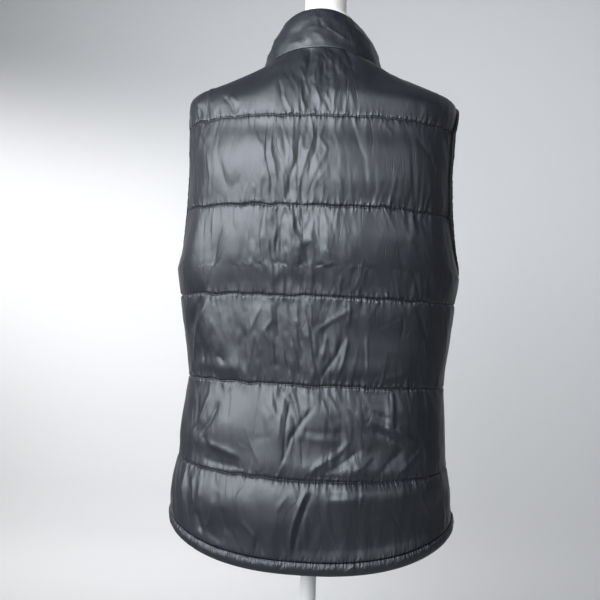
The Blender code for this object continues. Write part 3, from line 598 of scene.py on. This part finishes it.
def boxes(name, places, taper=0.0):
    """One mesh of small boxes, each given as its middle and three half axes; the second one tapers backward."""
    corners = np.array([(x, y, z) for x in (-1, 1) for y in (-1, 1) for z in (-1, 1)], float)
    sides = np.array([(0, 1, 3, 2), (4, 6, 7, 5), (0, 4, 5, 1), (2, 3, 7, 6), (0, 2, 6, 4), (1, 5, 7, 3)])
    second = corners[:, 1:2] * (1 - taper * (corners[:, :1] < 0))
    vertices = [middle + corners[:, :1] * a + second * b + corners[:, 2:] * c for middle, a, b, c in places]
    quads = [sides + k * len(corners) for k in range(len(vertices))]
    return mesh_object(name, np.concatenate(vertices), np.concatenate(quads), smooth=False)


# ---- materials ----
def node_material(name, colour, roughness, specular=0.5, metallic=0.0, sheen=0.0):
    made = bpy.data.materials.new(name)
    made.use_nodes = True
    shader = made.node_tree.nodes["Principled BSDF"]
    shader.inputs["Base Color"].default_value = (*colour, 1)
    shader.inputs["Roughness"].default_value = roughness
    shader.inputs["Specular IOR Level"].default_value = specular
    shader.inputs["Metallic"].default_value = metallic
    shader.inputs["Sheen Weight"].default_value = sheen
    return made, made.node_tree, shader


def add_node(tree, kind, inputs=None, **settings):
    """Adds a node. An input is given as a value, or as another node, whose first output is linked to it."""
    node = tree.nodes.new("ShaderNode" + kind)
    for key, value in settings.items():
        setattr(node, key, value)
    for key, value in (inputs or {}).items():
        if isinstance(value, bpy.types.Node):
            value = value.outputs[0]
        if isinstance(value, bpy.types.NodeSocket):
            tree.links.new(value, node.inputs[key])
        else:
            node.inputs[key].default_value = value
    return node


def nylon_material():
    """Tight shiny nylon: a dark base, a soft broad highlight, fine crinkles and a plain weave.

    The map "cloth" holds metres along and up a piece, and "seam" metres along and away from its nearest stitching.
    """
    made, tree, shader = node_material("nylon", (0.013, 0.015, 0.019), 0.46, specular=0.9)
    shader.inputs["Specular Tint"].default_value = (0.91, 0.94, 1.0, 1)
    node = partial(add_node, tree)

    def noise(place, scale, detail, roughness=0.5):
        return node("TexNoise", {"Vector": place, "Scale": scale, "Detail": detail, "Roughness": roughness})

    def bump(height, strength, distance, under=None):
        inputs = {"Height": height, "Strength": strength, "Distance": distance}
        return node("Bump", {**inputs, "Normal": under} if under else inputs)

    place = node("UVMap", uv_map="cloth")
    threads = [node("TexWave", {"Vector": place, "Scale": 420.0, "Distortion": 0.6, "Detail": 1.0},
                    wave_type="BANDS", bands_direction=way).outputs["Fac"] for way in "XY"]
    weave = bump(node("Math", dict(enumerate(threads)), operation="MULTIPLY"), 0.10, 0.0001)
    crinkles = noise(node("Mapping", {"Vector": place, "Scale": (1.0, 0.45, 1.0)}), 190.0, 3.0, 0.55)
    crinkled = bump(crinkles, 0.35, 0.0007, weave)

    # hairline creases, along the middle value of a stretched noise
    drift = noise(node("Mapping", {"Vector": place, "Scale": (1.0, 0.17, 1.0), "Rotation": (0, 0, 0.10)}), 55.0, 0.0)
    off = node("Math", {0: node("Math", {0: drift, 1: 0.5}, operation="SUBTRACT")}, operation="ABSOLUTE")
    crest = node("MapRange", {"Value": off, "From Max": 0.022, "To Min": 1.0, "To Max": 0.0},
                 interpolation_type="SMOOTHERSTEP")
    mask = node("MapRange", {"Value": noise(place, 24.0, 1.0), "From Min": 0.50, "From Max": 0.64})
    creased = bump(node("Math", {0: crest, 1: mask}, operation="MULTIPLY"), 0.45, 0.0005, crinkled)

    # fine puckers square to the stitching
    seam = node("UVMap", uv_map="seam")
    streaks = noise(node("Mapping", {"Vector": seam, "Scale": (1.0, 0.16, 1.0)}), 330.0, 1.5, 0.6)
    centred = node("Math", {0: streaks, 1: 0.5}, operation="SUBTRACT")
    away = node("Math", {0: node("SeparateXYZ", {0: seam}).outputs["Y"]}, operation="ABSOLUTE")
    reach = node("MapRange", {"Value": away, "From Max": 0.0085, "To Min": 1.0, "To Max": 0.0},
                 interpolation_type="SMOOTHERSTEP")
    puckered = bump(node("Math", {0: centred, 1: reach}, operation="MULTIPLY"), 1.0, 0.0026, creased)
    tree.links.new(puckered.outputs["Normal"], shader.inputs["Normal"])

    worn = node("MapRange", {"Value": noise(place, 22.0, 2.0), "To Min": 0.41, "To Max": 0.49})
    tree.links.new(worn.outputs["Result"], shader.inputs["Roughness"])
    return made


def speckled(name, colour, roughness, scale, depth, specular=0.5, metallic=0.0, sheen=0.0):
    """A plain finish with a fine grain in the object's own coordinates."""
    made, tree, shader = node_material(name, colour, roughness, specular, metallic, sheen)
    place = add_node(tree, "TexCoord").outputs["Object"]
    grain = add_node(tree, "TexNoise", {"Vector": place, "Scale": scale, "Detail": 3.0})
    bump = add_node(tree, "Bump", {"Height": grain, "Strength": 0.3, "Distance": depth})
    tree.links.new(bump.outputs["Normal"], shader.inputs["Normal"])
    return made


NYLON = nylon_material()
LINING = speckled("lining", (0.020, 0.021, 0.024), 0.5, 900, 0.0001)
EDGING = speckled("edging", (0.010, 0.010, 0.012), 0.7, 2500, 0.0002, sheen=0.2)
# black thread, its colour made darker than the real thread so that it also paints the shade of the groove along each
# stitched line
THREAD_WITH_PAINTED_SHADE = speckled("thread", (0.004, 0.004, 0.005), 0.9, 4000, 0.0001, specular=0.1)
TAPE = speckled("zip_tape_weave", (0.012, 0.012, 0.013), 0.7, 3000, 0.0001)
NYLON_TEETH = speckled("zip_teeth_plastic", (0.014, 0.014, 0.015), 0.35, 2000, 0.00002)
ZIP_METAL = speckled("zip_slider_paint", (0.016, 0.016, 0.017), 0.35, 1500, 0.00003)
FORM_SKIN = speckled("form_skin", (0.80, 0.79, 0.76), 0.5, 500, 0.00005)
STAND_PAINT = speckled("stand_paint", (0.80, 0.80, 0.79), 0.35, 300, 0.00003)


def dress(piece, material, slot, *nodes):
    """Gives a piece its material and its place in the frame."""
    piece.data.materials.clear()
    piece.data.materials.append(material)
    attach(piece, BODY)
    if nodes:
        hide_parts(*nodes)
    return piece


# ---- the panels ----
def relief_of(cloth, part):
    """Folds and crinkles over a panel's padding."""
    relief = np.zeros(cloth.u.shape)
    seed = {"back": 40, "front_left": 60, "front_right": 80}[part]
    calm = np.clip(0.85 + 0.35 * noise_field(cloth, 0.07, 0.09, seed + 9), 0.25, 1.3)
    if part == "back":
        for height, half_width, *places in BACK_CREASES:
            upper = UPPER_CALM if 1.0 <= places[0][1] < 3.0 else 1.0
            way = [cloth.place(x / 1000, line_height(line)) for x, line in places]
            add_crease(relief, cloth, way, CREASE_HEIGHT * upper**2 * height / 1000,
                       CREASE_WIDTH * upper * half_width / 1000)
        for height, wide, tall, x, line in BACK_FORMS:
            relief += height / 1000 * spot(cloth, wide, tall, x, line)
        for wide, tall, x, line in CALM:
            calm *= 1 - 0.75 * spot(cloth, wide, tall, x, line)
        busy = 0.45 + 0.55 * np.exp(-((cloth.u / 0.080) ** 2))
    else:
        front_creases(relief, cloth, 21 if part == "front_left" else 22)
        busy = 0.75
    relief += noise_field(cloth, 0.060, 0.110, seed) * 0.0006
    relief += busy * calm * sum(height * facets(cloth, wide, tall, seed + own) for height, wide, tall, own in FACETS)
    return relief


def front_creases(relief, cloth, seed):
    """The hidden fronts carry folds like the back's: mostly upright, some slanting, fading at each line."""
    rng = np.random.default_rng(seed)
    low, high = cloth.u.min(), cloth.u.max()
    for line in range(1, 7):
        top, bottom = LINES_DOWN[line - 1], LINES_DOWN[line]
        for _ in range(14 if line > 1 else 7):
            x = rng.uniform(low + 0.01, high - 0.01)
            start = rng.uniform(0.0, 0.55)
            end = min(start + rng.uniform(0.25, 0.75), 1.0)
            lean = rng.normal(0, 0.010)
            ends = [(x, start), (x + lean * 0.5 + rng.normal(0, 0.003), (start + end) / 2), (x + lean, end)]
            way = [(u, np.interp(top + (bottom - top) * t, cloth.heights, cloth.v[:, 0])) for u, t in ends]
            height = rng.choice([-1, 1]) * rng.uniform(0.0007, 0.0021)
            add_crease(relief, cloth, way, height, rng.uniform(0.0018, 0.005))


def hang(cloth, seed):
    """The vest hangs a little askew, and its quilting lines waver by a millimetre."""
    z = cloth.heights[:, None]
    window = within(z / 0.10) * within((NECK_SEAM - z) / 0.08)
    cloth.base[..., 2] += TILT * cloth.base[..., 0] * eased(window)
    waist = np.exp(-(((z - 0.235) / 0.06) ** 2)) * within(cloth.base[..., 0] / 0.17) ** 2
    cloth.base[..., 0] -= 0.004 * waist
    rng = np.random.default_rng(seed)
    for line in QUILTING_LINES:
        bend = np.interp(cloth.u[0], np.linspace(cloth.u.min(), cloth.u.max(), 34), rng.normal(0, 0.0007, 34))
        side = within(cloth.edge / 0.03)
        cloth.base[..., 2] += bend * side * np.exp(-((z - line) / 0.012) ** 2)


def shell_of(part, cloth, thickness, seams):
    points, u, v = rimmed(cloth, thickness)
    made = grid_object(f"{part}_shell", points, u, v)
    mark_seams(made, u, v, seams)
    return dress(made, NYLON, "shell_cloth", part)


def lining_of(part, cloth):
    """A plain sheet at the inner face of a panel, facing in."""
    points = cloth.base + cloth.normals * 0.0002
    made = grid_object(f"{part}_lining", points[:, ::-1], cloth.u[:, ::-1], cloth.v[:, ::-1])
    return dress(made, LINING, "shell_cloth")


def panel(part, columns):
    """A quilted panel: its padded shell and its lining."""
    lines = (CASING_TOP + SEAM_GAP, *QUILTING_LINES, NECK_SEAM)
    heights = row_heights((CASING_TOP + SEAM_GAP, QUILTING_LINES[0], QUILTING_LINES[1], QUILTING_LINES[2], UNDERARM,
                           QUILTING_LINES[3], QUILTING_LINES[4], SHOULDER_TIP, NECK_SEAM))
    angles = even_angles(FIGURE, heights, *panel_ends(part, heights), columns)
    cloth = Cloth(FIGURE, heights, angles, neck_row=-1)
    thickness, share = channel_puff(cloth, lines)
    hang(cloth, 140 + len(part))
    free = within(share * 1.6 + 0.15)
    sideways = within((np.abs(cloth.base[..., 0]) - 0.040) / 0.035)
    pressed = eased(sideways * within((cloth.heights[:, None] - 0.566) / 0.032))
    thickness = thickness * (1 - pressed) + WALL_AT_SHOULDER * pressed
    thickness += relief_of(cloth, part) * free * (1 - 0.5 * pressed)
    for number, line in enumerate(QUILTING_LINES):
        add_puckers(thickness, cloth, line, 100 + number + len(part))
    if part == "back":
        for number, (line, start, end, tall) in enumerate(GATHERS):
            span = [cloth.place(x / 1000, line_height(line))[0] for x in (start, end)]
            add_puckers(thickness, cloth, line_height(line), 170 + number, spacing=0.0046, tall=tall / 1000,
                        length=0.0050, span=sorted(span))
    add_puckers(thickness, cloth, CASING_TOP + SEAM_GAP, 120 + len(part), down=False, tall=0.0007)
    floor = 0.0010
    thickness = floor + np.logaddexp(0, (thickness - floor) / 0.0004) * 0.0004
    seams = [np.interp(h, cloth.heights, cloth.v[:, 0]) for h in (cloth.heights[0], *QUILTING_LINES)]
    shell = shell_of(part, cloth, thickness, seams)
    return cloth, thickness, shell, lining_of(part, Cloth(FIGURE, heights[::4], angles[::4, ::4]))


def surface_at(cloth, thickness, height, lift=0.0):
    """Points and normals along a row of a panel's outside."""
    row = int(np.argmin(np.abs(cloth.heights - height)))
    normals = cloth.normals[row]
    return cloth.base[row] + normals * (thickness[row][:, None] + lift), normals


def evenly(points, step):
    """Places along a line, a step apart."""
    run = run_along(points)
    return along_line(points, run, np.linspace(step / 2, run[-1] - step / 2, max(int(run[-1] / step), 2)))


def stitches(name, lines):
    """One mesh of short threads laid along lines of (points, normals)."""
    places = []
    for points, normals in lines:
        at, out = evenly(points, STITCH_STEP), evenly(points + normals * 0.01, STITCH_STEP)
        count = min(len(at), len(out))
        at, out = at[:count], unit(out[:count] - at[:count])
        along = unit(np.gradient(at, axis=0))
        side = np.cross(out, along)
        places += zip(at, along * STITCH_LENGTH / 2, side * THREAD_HALF, out * THREAD_HALF)
    return boxes(name, places)


def hem_casing(part, columns):
    heights = np.linspace(0.0, CASING_TOP - SEAM_GAP, 22)
    start, end = panel_ends(part, heights)
    angles = even_angles(FIGURE, heights, start, end, columns)
    cloth = Cloth(FIGURE, heights, angles)
    share = (heights / heights[-1])[:, None]
    swell = np.sin(np.pi * (0.02 + 0.84 * within(share))) ** 0.5
    relief = np.zeros(cloth.u.shape)
    rng = np.random.default_rng(300 + len(part))
    place = cloth.u.min()
    while place < cloth.u.max():
        place += rng.uniform(0.005, 0.022)
        lean = rng.normal(0.25, 0.5)
        way = [(place, 0.0), (place - lean * 0.015, 0.0155)]
        add_crease(relief, cloth, way, rng.choice([-1, 1, 1]) * rng.uniform(0.0004, 0.0012),
                   rng.uniform(0.0009, 0.0024), ends=(0.1, 0.1))
    thickness = 0.002 + (0.0054 + noise_field(cloth, 0.03, 0.03, 310) * 0.0004) * swell + relief * swell
    add_puckers(thickness, cloth, heights[-1], 320 + len(part), up=False, length=0.004, tall=0.0006)
    thickness = np.clip(thickness, 0.0015, None)
    outer = cloth.base + cloth.normals * thickness[..., None]
    inner = cloth.base - cloth.normals * (0.0012 * swell)[..., None]
    points = np.concatenate([inner[::-1], outer])
    u, v = np.concatenate([cloth.u[::-1], cloth.u]), np.concatenate([-cloth.v[::-1] - 0.003, cloth.v])
    made = grid_object(f"hem_casing_{part}_roll", points, u, v)
    mark_seams(made, u, v, [cloth.v[-1].mean()])
    return dress(made, NYLON, "shell_cloth", f"hem_casing_{part}")


def lean_collar(cloth):
    """The back of the collar draws in towards the top and leans a little to the left."""
    share = ((cloth.heights - cloth.heights[0]) / (cloth.heights[-1] - cloth.heights[0]))[:, None]
    behind = eased((cloth.base[..., 1] + 0.02) / 0.06)
    cloth.base[..., 0] += behind * (0.0040 * share - 0.10 * share**2 * cloth.base[..., 0])


def stand_collar():
    heights = row_heights((COLLAR[0, 0], COLLAR[-1, 0]), near=0.0009, far=0.0014)
    end = math.pi - np.arcsin(ZIP_HALF_GAP / smooth_rows(COLLAR, heights)[:, 3])
    angles = even_angles(COLLAR, heights, -end, end, COLLAR_COLUMNS)
    cloth = Cloth(COLLAR, heights, angles, neck_row=0)
    share = ((heights - heights[0]) / (heights[-1] - heights[0]))[:, None]
    side = within(cloth.edge / 0.014) ** 0.6
    puff = WALL_AT_SEAM + 0.0036 * np.sin(np.pi * share) ** 0.6 * side
    puff = puff + (WALL_AT_NECK - WALL_AT_SEAM) * np.exp(-share / 0.12) * side
    lean_collar(cloth)
    relief = np.zeros(cloth.u.shape)
    for height, half_width, *places in COLLAR_CREASES:
        way = [cloth.place(x / 1000, heights[0] + (heights[-1] - heights[0]) * up) for x, up in places]
        add_crease(relief, cloth, way, height / 1000, half_width / 1000)
    relief += noise_field(cloth, 0.030, 0.030, 400) * 0.0006
    relief += (0.8 - np.abs(noise_field(cloth, 0.012, 0.018, 401))) * 0.0004
    thickness = puff + relief * within(np.sin(np.pi * share) * 2.2 + 0.1)
    add_puckers(thickness, cloth, heights[-1], 420, up=False, tall=0.0008, length=0.005, spacing=0.007)
    thickness = np.clip(thickness, 0.0016, None)
    shell = shell_of("collar", cloth, thickness, [cloth.v[-1].mean()])
    inside = Cloth(COLLAR, heights[::3], angles[::3, ::3])
    lean_collar(inside)
    return shell, lining_of("collar", inside)


def faces_in(strip, centre):
    """Whether a strip rolled round a centre line has its faces to the inside."""
    across = np.cross(strip[6, 1] - strip[6, 0], strip[7, 0] - strip[6, 0])
    return across @ (strip[6, 0] - centre[0]) < 0


def armhole_binding(side, word):
    """A narrow folded edging round the armhole, drawn in a little by its elastic."""
    heights = np.concatenate([np.linspace(UNDERARM, 0.400, 40), np.linspace(0.402, SHOULDER_TIP, 90)])
    loop, out = [], []
    for part, which in (("back", 1), ("front_left", 0)):
        ends = panel_ends(part, heights)[which][:, None]
        loop.append(figure_points(FIGURE, heights, ends)[:, 0])
        out.append(figure_normals(FIGURE, heights, ends)[:, 0])
    loop, out = (np.concatenate([a[0], a[1][-2:0:-1], a[0][:1]]) for a in (loop, out))
    run = run_along(loop)
    wanted = np.linspace(0, run[-1], BINDING_COLUMNS, endpoint=False)
    loop, out = along_line(loop, run, wanted), along_line(out, run, wanted)
    for _ in range(4):
        loop, out = ((np.roll(a, 1, axis=0) + a * 2 + np.roll(a, -1, axis=0)) / 4 for a in (loop, out))
    out = unit(out)
    inward = unit(np.cross(out, np.roll(loop, -1, axis=0) - np.roll(loop, 1, axis=0)))
    if ((loop.mean(axis=0) - loop) * inward).sum() < 0:
        inward = -inward
    rng = np.random.default_rng(500)
    ripple = np.repeat(rng.normal(0, 1, BINDING_COLUMNS // 2), 2)[:, None] * 0.00016
    centre = loop + out * 0.0014 + inward * (0.0022 + ripple)
    if side < 0:  # the right one stands out behind, where the photo shows it past the panel's edge
        centre = centre + out * 0.0032 * within((centre[:, 1] + 0.03) / 0.04)[:, None]
    turns = np.linspace(-BINDING_TURN, BINDING_TURN, 13) * math.pi
    strip = np.stack([centre + inward * math.cos(t) * 0.0023 + out * math.sin(t) * (0.0025 + ripple) for t in turns])
    mirror = np.array([side, 1, 1])
    strip = strip * mirror
    if faces_in(strip, centre * mirror):
        strip = strip[::-1]
    made = grid_object(f"armhole_edging_{word}", strip, wrap=True)
    line = (centre - inward * 0.0012 + out * 0.0024) * mirror
    return dress(made, EDGING, "binding", f"armhole_binding_{word}"), (line, out * mirror)


# ---- the zip ----
def zip_line():
    """The zip's middle line, from the hem to the collar's top, with its upward and outward directions."""
    body = np.linspace(0.0, NECK_SEAM - 0.004, 22)
    upper = np.linspace(COLLAR[0, 0] + 0.004, COLLAR[-1, 0], 6)
    front = figure_points(FIGURE, body, np.full((22, 1), math.pi))[:, 0]
    neck = figure_points(COLLAR, upper, np.full((6, 1), math.pi))[:, 0]
    line = np.concatenate([front, neck])
    up = unit(np.gradient(line, axis=0))
    return line, up, np.cross(up, [-1, 0, 0])


def zip_teeth():
    """Two interlocked rows of moulded teeth, a pair every 2.6 mm, from the box to the slider."""
    line, up, out = zip_line()
    run = run_along(line)
    wanted = np.arange(TEETH_START, run[-1] * TEETH_END, TEETH_STEP)
    places = []
    for k, (at, way, face) in enumerate(zip(*(along_line(a, run, wanted) for a in (line, up, out)))):
        sideways = np.array([1 if k % 2 else -1, 0, 0])
        places.append((at + face * 0.0024 + sideways * 0.00125, sideways * 0.0019, way * 0.00048, face * 0.0008))
    return dress(boxes("zip_teeth", places, taper=0.25), NYLON_TEETH, "zip")


# ---- build ----
stitch_lines, shells, linings, rolls, edgings = [], {}, {}, {}, {}
for part, columns in (("back", BACK_COLUMNS), ("front_left", FRONT_COLUMNS), ("front_right", FRONT_COLUMNS)):
    cloth, thickness, shells[part], linings[part] = panel(part, columns)
    rolls[part] = hem_casing(part, columns)
    for height in (*QUILTING_LINES, CASING_TOP + 0.0014):
        stitch_lines.append(surface_at(cloth, thickness, height, 0.0001))
shells["collar"], linings["collar"] = stand_collar()
for side, word in ((1, "left"), (-1, "right")):
    edgings[word], line = armhole_binding(side, word)
    stitch_lines.append(line)
# the stitches' near-black colour is partly painted shade, darkening the groove along each stitched line
dress(stitches("seam_stitches", stitch_lines), THREAD_WITH_PAINTED_SHADE, "shell_cloth")
zip_teeth()

for material, names in ((TAPE, ("zip_tape_left", "zip_tape_right")),
                        (ZIP_METAL, ("zip_box", "zip_slider", "zip_pull")),
                        (FORM_SKIN, ("form_torso", "form_neck_post")),
                        (STAND_PAINT, ("form_socket", "pole", "base_socket", "base_plate"))):
    for name in names:
        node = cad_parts[name]
        node.data.materials.clear()
        node.data.materials.append(material)


# ---- the studio ----
def studio():
    """A pale paper floor that bends up into a backdrop, a dim world and five soft lights."""
    profile = [(4.0, 0.0), (-1.1, 0.0), (-1.45, 0.05), (-1.62, 0.18), (-1.70, 0.45), (-1.70, 4.5)][::-1]
    points = np.array([[(x, y, z) for x in (-5.0, 5.0)] for y, z in profile])
    floor = grid_object("studio_floor_and_backdrop", points)
    paper, tree, shader = node_material("studio_paper", (0.58, 0.58, 0.585), 0.9, specular=0.2)
    node = partial(add_node, tree)
    # the paper is clear from behind, so that the backdrop hides nothing from the other side
    one_sided = node("MixShader", {"Fac": node("NewGeometry").outputs["Backfacing"], 1: shader,
                                   2: node("BsdfTransparent")})
    tree.links.new(one_sided.outputs["Shader"], tree.nodes["Material Output"].inputs["Surface"])
    floor.data.materials.append(paper)
    bend = floor.modifiers.new("bend", "SUBSURF")
    bend.levels = bend.render_levels = 2

    # the world lights the vest from the window's side and a little over level, and is an even pale grey to look at
    world = bpy.data.worlds.new("studio")
    world.use_nodes = True
    tree = world.node_tree
    node = partial(add_node, tree)
    sky = node("TexCoord").outputs["Generated"]
    aside = node("VectorMath", {0: sky, 1: (0.80, 0.60, 0.0)}, operation="DOT_PRODUCT").outputs["Value"]
    brightness = node("MapRange", {"Value": aside, "From Min": -0.3, "From Max": 1.0, "To Min": 0.03, "To Max": 0.20})
    above = node("Math", {0: node("SeparateXYZ", {0: sky}).outputs["Z"], 1: 0.25}, operation="SUBTRACT")
    level = node("MapRange", {"Value": node("Math", {0: above}, operation="ABSOLUTE"), "From Min": 0.0,
                              "From Max": 0.9, "To Min": 1.0, "To Max": 0.15})
    strength = node("Math", {0: brightness, 1: level}, operation="MULTIPLY")
    seen = node("Mix", {"Factor": node("LightPath").outputs["Is Camera Ray"], "A": strength, "B": 0.62})
    background = tree.nodes["Background"]
    background.inputs["Color"].default_value = (0.92, 0.96, 1.0, 1)
    tree.links.new(seen.outputs["Result"], background.inputs["Strength"])
    bpy.context.scene.world = world
    for name, place, target, size, power, colour in (
            ("window", (2.5, 1.65, 2.05), (0.0, 0.0, 1.75), (2.8, 1.8), 25, (0.95, 0.97, 1.0)),
            ("second_window", (0.9, 3.2, 2.00), (0.0, 0.0, 1.85), (2.4, 1.4), 21, (0.92, 0.96, 1.0)),
            ("upper_window", (1.2, 2.2, 2.9), (0.0, 0.0, 1.35), (2.2, 1.3), 9, (0.93, 0.96, 1.0)),
            ("wall_wash", (1.8, -0.9, 2.3), (1.5, -1.7, 1.0), (2.6, 0.4), 16, (1.0, 1.0, 1.0)),
            ("right_fill", (-1.7, 2.3, 2.0), (0.0, 0.0, 1.6), (1.6, 1.2), 2.8, (0.95, 0.97, 1.0))):
        light = bpy.data.lights.new(name, "AREA")
        light.shape, light.size, light.size_y = "RECTANGLE", size[0], size[1]
        light.energy, light.color, light.spread = power, colour, LIGHT_SPREAD
        lamp = bpy.data.objects.new(name, light)
        bpy.context.scene.collection.objects.link(lamp)
        lamp.location = place
        lamp.rotation_euler = (Vector(target) - Vector(place)).to_track_quat("-Z", "Y").to_euler()


def camera():
    """The photo's viewpoint, from behind and close, found by comparing the vest's outline."""
    lens = bpy.data.cameras.new("camera")
    lens.sensor_width, lens.lens = 36, 43.35
    made = bpy.data.objects.new("camera", lens)
    bpy.context.scene.collection.objects.link(made)
    made.location = (-0.068, 0.9726, 0.974)
    made.rotation_euler = [math.radians(a) for a in (93.129, -1.87, -174.772)]
    bpy.context.scene.camera = made


studio()
camera()
bpy.context.scene.view_settings.view_transform = "Standard"
